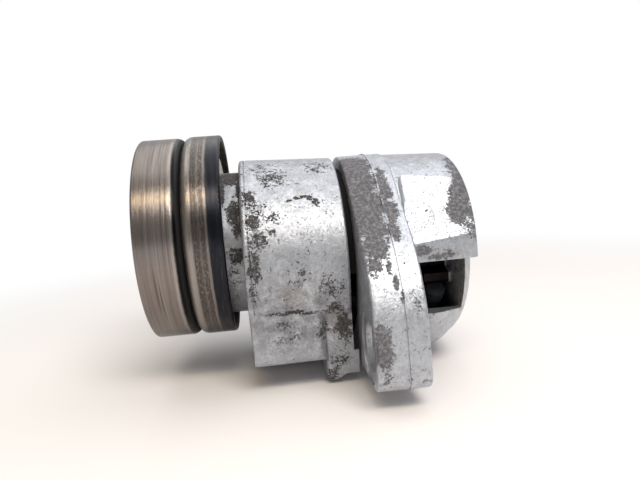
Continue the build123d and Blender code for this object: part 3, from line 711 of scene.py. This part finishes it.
TURNED_PIECES = (
    ("pulley_bolt", "Bolt steel", (0.42, 0.41, 0.38), (0.12, 0.075, 0.045), 0.38, 0.10, PULLEY_Z),
    ("pivot_pin", "Pin steel", (0.46, 0.45, 0.44), (0.10, 0.075, 0.055), 0.32, 0.06, PIVOT_Z),
    ("retaining_washer", "Washer steel", (0.40, 0.39, 0.37), (0.11, 0.08, 0.055), 0.42, 0.06, PIVOT_Z),
    ("front_dust_shield", "Shield steel", (0.30, 0.29, 0.28), (0.09, 0.06, 0.04), 0.45, 0.06, PULLEY_Z),
)

# Node, finish, clean tone, worn tone and roughness

MOULDED_PIECES = (
    ("rear_dust_shield", "Pale polyamide", (0.66, 0.63, 0.54), (0.30, 0.27, 0.22), 0.50),
    ("thrust_washer", "Washer polymer", (0.045, 0.042, 0.040), (0.10, 0.09, 0.08), 0.55),
    ("pivot_bushing", "Bushing polymer", (0.05, 0.045, 0.038), (0.03, 0.027, 0.024), 0.60),
    ("damper_ring", "Damper polymer", (0.007, 0.006, 0.006), (0.016, 0.013, 0.012), 0.80),
)


# Pieces

def dress(node_name, material):
    """Gives a node of the frame its finish."""
    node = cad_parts[node_name]
    node.data.materials.clear()
    node.data.materials.append(material)


def deselect_all():
    if bpy.context.object and bpy.context.object.mode != "OBJECT":
        bpy.ops.object.mode_set(mode="OBJECT")
    bpy.ops.object.select_all(action="DESELECT")


class TENSIONER_OT_base(bpy.types.Operator):
    """Finish the base casting"""

    bl_idname = "tensioner.base"
    bl_label = "Base casting"

    def execute(self, context):
        look = settings("casting")
        dress("base_housing", cast_material(
            "Base cast aluminium", BASE_GRIME, BASE_STAINS, BASE_RUST_AND_PAINTED_LIGHT, look.grime, look.caked))
        return {"FINISHED"}


class TENSIONER_OT_arm(bpy.types.Operator):
    """Finish the arm casting"""

    bl_idname = "tensioner.arm"
    bl_label = "Arm casting"

    def execute(self, context):
        look = settings("casting")
        dress("tensioner_arm", cast_material(
            "Arm cast aluminium", ARM_GRIME, ARM_FILM_AND_LOW_SHADE, ARM_RUST, look.soot, look.grime, handled=0.40))
        return {"FINISHED"}


class TENSIONER_OT_spring(bpy.types.Operator):
    """Wind the coil spring that joins the base and the arm"""

    bl_idname = "tensioner.spring"
    bl_label = "Coil spring"

    def execute(self, context):
        look = settings("spring")
        axis = PIVOT_Z * MM

        # The wire's section, stood up and set off from the axis
        deselect_all()
        bpy.ops.mesh.primitive_circle_add(vertices=WIRE_SIDES, radius=look.wire, fill_type="NOTHING")
        spring = context.object
        spring.name = "coil_spring"
        bpy.ops.object.mode_set(mode="EDIT")
        bpy.ops.mesh.select_all(action="SELECT")
        bpy.ops.transform.rotate(value=math.radians(90), orient_axis="X", center_override=(0, 0, 0))
        bpy.ops.transform.translate(value=(look.coil, 0, 0))
        bpy.ops.object.mode_set(mode="OBJECT")

        wind = spring.modifiers.new("Wind", "SCREW")
        wind.axis = "Z"
        wind.angle = -2 * math.pi * look.turns
        wind.screw_offset = look.base_end - look.arm_end
        wind.steps = wind.render_steps = round(look.turns * STEPS_PER_TURN)
        wind.use_merge_vertices = False
        bpy.ops.object.modifier_apply(modifier=wind.name)

        bpy.ops.object.mode_set(mode="EDIT")
        bpy.ops.mesh.select_all(action="SELECT")
        bpy.ops.mesh.fill_holes(sides=0)
        bpy.ops.mesh.normals_make_consistent(inside=False)
        bpy.ops.object.mode_set(mode="OBJECT")

        # The coil is wound along Z, and the unit's axis runs along X
        z_to_x = Matrix(((0, 0, 1), (1, 0, 0), (0, 1, 0))).to_4x4()
        spring.data.transform(Matrix.Rotation(look.start, 4, "Z"))
        spring.data.transform(z_to_x)
        spring.data.transform(Matrix.Translation((look.arm_end, 0, axis)))
        bpy.ops.object.shade_smooth_by_angle(angle=math.radians(40))

        spring.data.materials.append(steel_material(
            "Spring steel", look.steel, look.stain, 0.50,
            metallic=0.6, stained=0.12, axis=PIVOT_Z, lined=0.1))
        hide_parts("torsion_spring")
        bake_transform(spring)
        return {"FINISHED"}


class TENSIONER_OT_pulley(bpy.types.Operator):
    """Finish the two shells of the pulley and their rivets"""

    bl_idname = "tensioner.pulley"
    bl_label = "Pulley"

    def execute(self, context):
        dress("pulley_front_shell", track_material("Front shell steel", FRONT_BANDS, -77.6, -76.6))
        dress("pulley_rear_shell", track_material("Rear shell steel", REAR_BANDS, -60.4, -56.9))
        dress("pulley_rivets", steel_material("Rivet steel", (0.30, 0.28, 0.26), (0.07, 0.05, 0.04), 0.45))
        return {"FINISHED"}


class TENSIONER_OT_bearing(bpy.types.Operator):
    """Finish the ball bearing of the pulley"""

    bl_idname = "tensioner.bearing"
    bl_label = "Bearing"

    def execute(self, context):
        ground = steel_material("Bearing steel", (0.50, 0.49, 0.48), (0.12, 0.09, 0.07), 0.22, stained=0.02)
        balls = steel_material("Ball steel", (0.62, 0.62, 0.63), (0.2, 0.17, 0.14), 0.10, stained=0.0)
        cage = moulded_material("Cage polyamide", (0.34, 0.25, 0.13), (0.16, 0.11, 0.06), 0.5)
        rubber = moulded_material("Seal rubber", (0.018, 0.018, 0.019), (0.06, 0.052, 0.045), 0.62)
        finishes = {
            "bearing_outer_ring": ground, "bearing_inner_ring": ground, "bearing_balls": balls,
            "bearing_cage": cage, "bearing_seal_front": rubber, "bearing_seal_rear": rubber,
        }
        for node_name, material in finishes.items():
            dress(node_name, material)
        return {"FINISHED"}


class TENSIONER_OT_hardware(bpy.types.Operator):
    """Finish the bolt, pin, washers, dust shields, bushing and damper ring"""

    bl_idname = "tensioner.hardware"
    bl_label = "Hardware"

    def execute(self, context):
        for node_name, name, tone, stain, roughness, stained, axis in TURNED_PIECES:
            dress(node_name, steel_material(name, tone, stain, roughness, stained=stained, axis=axis))
        for node_name, name, tone, worn, roughness in MOULDED_PIECES:
            dress(node_name, moulded_material(name, tone, worn, roughness))
        return {"FINISHED"}


# Stage

def seen_directly(tree):
    """One where a camera, glossy or transmission ray looks, so that metal shows the backdrop too."""
    path = tree.nodes.new("ShaderNodeLightPath").outputs
    seen = maths(tree, "MAXIMUM", path["Is Camera Ray"], path["Is Glossy Ray"])
    return maths(tree, "MAXIMUM", seen, path["Is Transmission Ray"])


def pale_floor(look):
    """Floor that keeps the shadow near the part and is white to the eye further off."""
    deselect_all()
    bpy.ops.mesh.primitive_plane_add(size=FLOOR_SIZE, location=(0, 0, look.floor_height))
    floor = bpy.context.object
    floor.name = "floor"
    material, tree, shader, position = new_material("Pale floor")
    feed(tree, shader.inputs["Base Color"], look.floor)
    shader.inputs["Roughness"].default_value = 0.85
    shader.inputs["Specular IOR Level"].default_value = 0.1
    white = add(tree, "ShaderNodeEmission", {"Color": (1.0, 1.0, 1.0), "Strength": 1.0})
    far = smooth(tree, vector_maths(tree, "LENGTH", position), *SHADOW_REACH)
    whitened = maths(tree, "MULTIPLY", far, seen_directly(tree))
    mixed = add(tree, "ShaderNodeMixShader", {0: whitened, 1: shader.outputs[0], 2: white.outputs[0]})
    out = next(node for node in tree.nodes if node.type == "OUTPUT_MATERIAL")
    feed(tree, out.inputs["Surface"], mixed.outputs[0])
    floor.data.materials.append(material)


def studio_world(fill):
    """Soft fill on the part, white to the camera, and a graded backdrop for metal to mirror."""
    world = bpy.data.worlds.new("Studio")
    bpy.context.scene.world = world
    world.use_nodes = True
    tree = world.node_tree
    tree.nodes.clear()
    path = tree.nodes.new("ShaderNodeLightPath").outputs
    direction = tree.nodes.new("ShaderNodeTexCoord").outputs["Generated"]
    way = add(tree, "ShaderNodeSeparateXYZ", {0: direction}).outputs
    overhead = smooth(tree, way["Z"], 0.45, 0.95, 0.0, 0.44)
    behind = smooth(tree, way["Y"], -0.50, 0.30, 0.27, 0.58)
    backdrop = maths(tree, "MAXIMUM", overhead, behind)
    mirrored = blend_values(tree, path["Is Glossy Ray"], fill, backdrop)
    direct = maths(tree, "MAXIMUM", path["Is Camera Ray"], path["Is Transmission Ray"])
    strength = blend_values(tree, direct, mirrored, 1.0)
    background = add(tree, "ShaderNodeBackground", {"Color": (1.0, 1.0, 1.0), "Strength": strength})
    add(tree, "ShaderNodeOutputWorld", {"Surface": background.outputs[0]})


def area_lamp(name, place, size, power, tone):
    data = bpy.data.lights.new(name, "AREA")
    data.shape = "RECTANGLE"
    data.size, data.size_y = size
    data.energy = power
    data.color = tone
    lamp = bpy.data.objects.new(name, data)
    bpy.context.scene.collection.objects.link(lamp)
    lamp.location = place
    lamp.rotation_euler = (Vector(LIT_POINT) - Vector(place)).to_track_quat("-Z", "Y").to_euler()


def photo_camera(look):
    """Camera with the place, turn and lens that were fitted to the photograph."""
    data = bpy.data.cameras.new("Photo camera")
    data.lens = look.lens
    data.sensor_width = SENSOR_WIDTH
    data.clip_start = 0.005
    data.clip_end = 20.0
    camera = bpy.data.objects.new("Photo camera", data)
    bpy.context.scene.collection.objects.link(camera)
    right = Vector(CAMERA_RIGHT).normalized()
    forward = Vector(CAMERA_FORWARD).normalized()
    up = right.cross(forward).normalized()
    right = forward.cross(up)
    turn = Matrix((right, up, -forward)).transposed()
    camera.matrix_world = Matrix.Translation(look.eye) @ turn.to_4x4()
    bpy.context.scene.camera = camera


class TENSIONER_OT_stage(bpy.types.Operator):
    """Set the floor, the lamps and the camera"""

    bl_idname = "tensioner.stage"
    bl_label = "Stage"

    def execute(self, context):
        look = settings("stage")
        pale_floor(look)
        studio_world(look.fill)
        for lamp in LAMPS:
            area_lamp(*lamp)
        photo_camera(look)
        context.scene.view_settings.view_transform = "Standard"
        return {"FINISHED"}


OPERATORS = (
    TENSIONER_OT_base,
    TENSIONER_OT_arm,
    TENSIONER_OT_spring,
    TENSIONER_OT_pulley,
    TENSIONER_OT_bearing,
    TENSIONER_OT_hardware,
    TENSIONER_OT_stage,
)


class TENSIONER_PT_panel(bpy.types.Panel):
    """The tensioner's pieces and their settings"""

    bl_label = "Tensioner"
    bl_idname = "TENSIONER_PT_panel"
    bl_space_type = "VIEW_3D"
    bl_region_type = "UI"
    bl_category = "Tensioner"

    def draw(self, context):
        layout = self.layout
        for operator in OPERATORS:
            layout.operator(operator.bl_idname)
        for name in LOOKS:
            box = layout.box()
            group = settings(name)
            for prop in group.bl_rna.properties:
                if prop.identifier not in ("rna_type", "name"):
                    box.prop(group, prop.identifier)


def register():
    for name, look in LOOKS.items():
        bpy.utils.register_class(look)
        setattr(bpy.types.Scene, "tensioner_" + name, PointerProperty(type=look))
    for kind in (*OPERATORS, TENSIONER_PT_panel):
        bpy.utils.register_class(kind)


def unregister():
    for kind in reversed((*OPERATORS, TENSIONER_PT_panel)):
        bpy.utils.unregister_class(kind)
    for name, look in LOOKS.items():
        delattr(bpy.types.Scene, "tensioner_" + name)
        bpy.utils.unregister_class(look)


def main():
    register()
    for operator in OPERATORS:
        space, _, call = operator.bl_idname.partition(".")
        getattr(getattr(bpy.ops, space), call)()


if __name__ == "__main__":
    main()
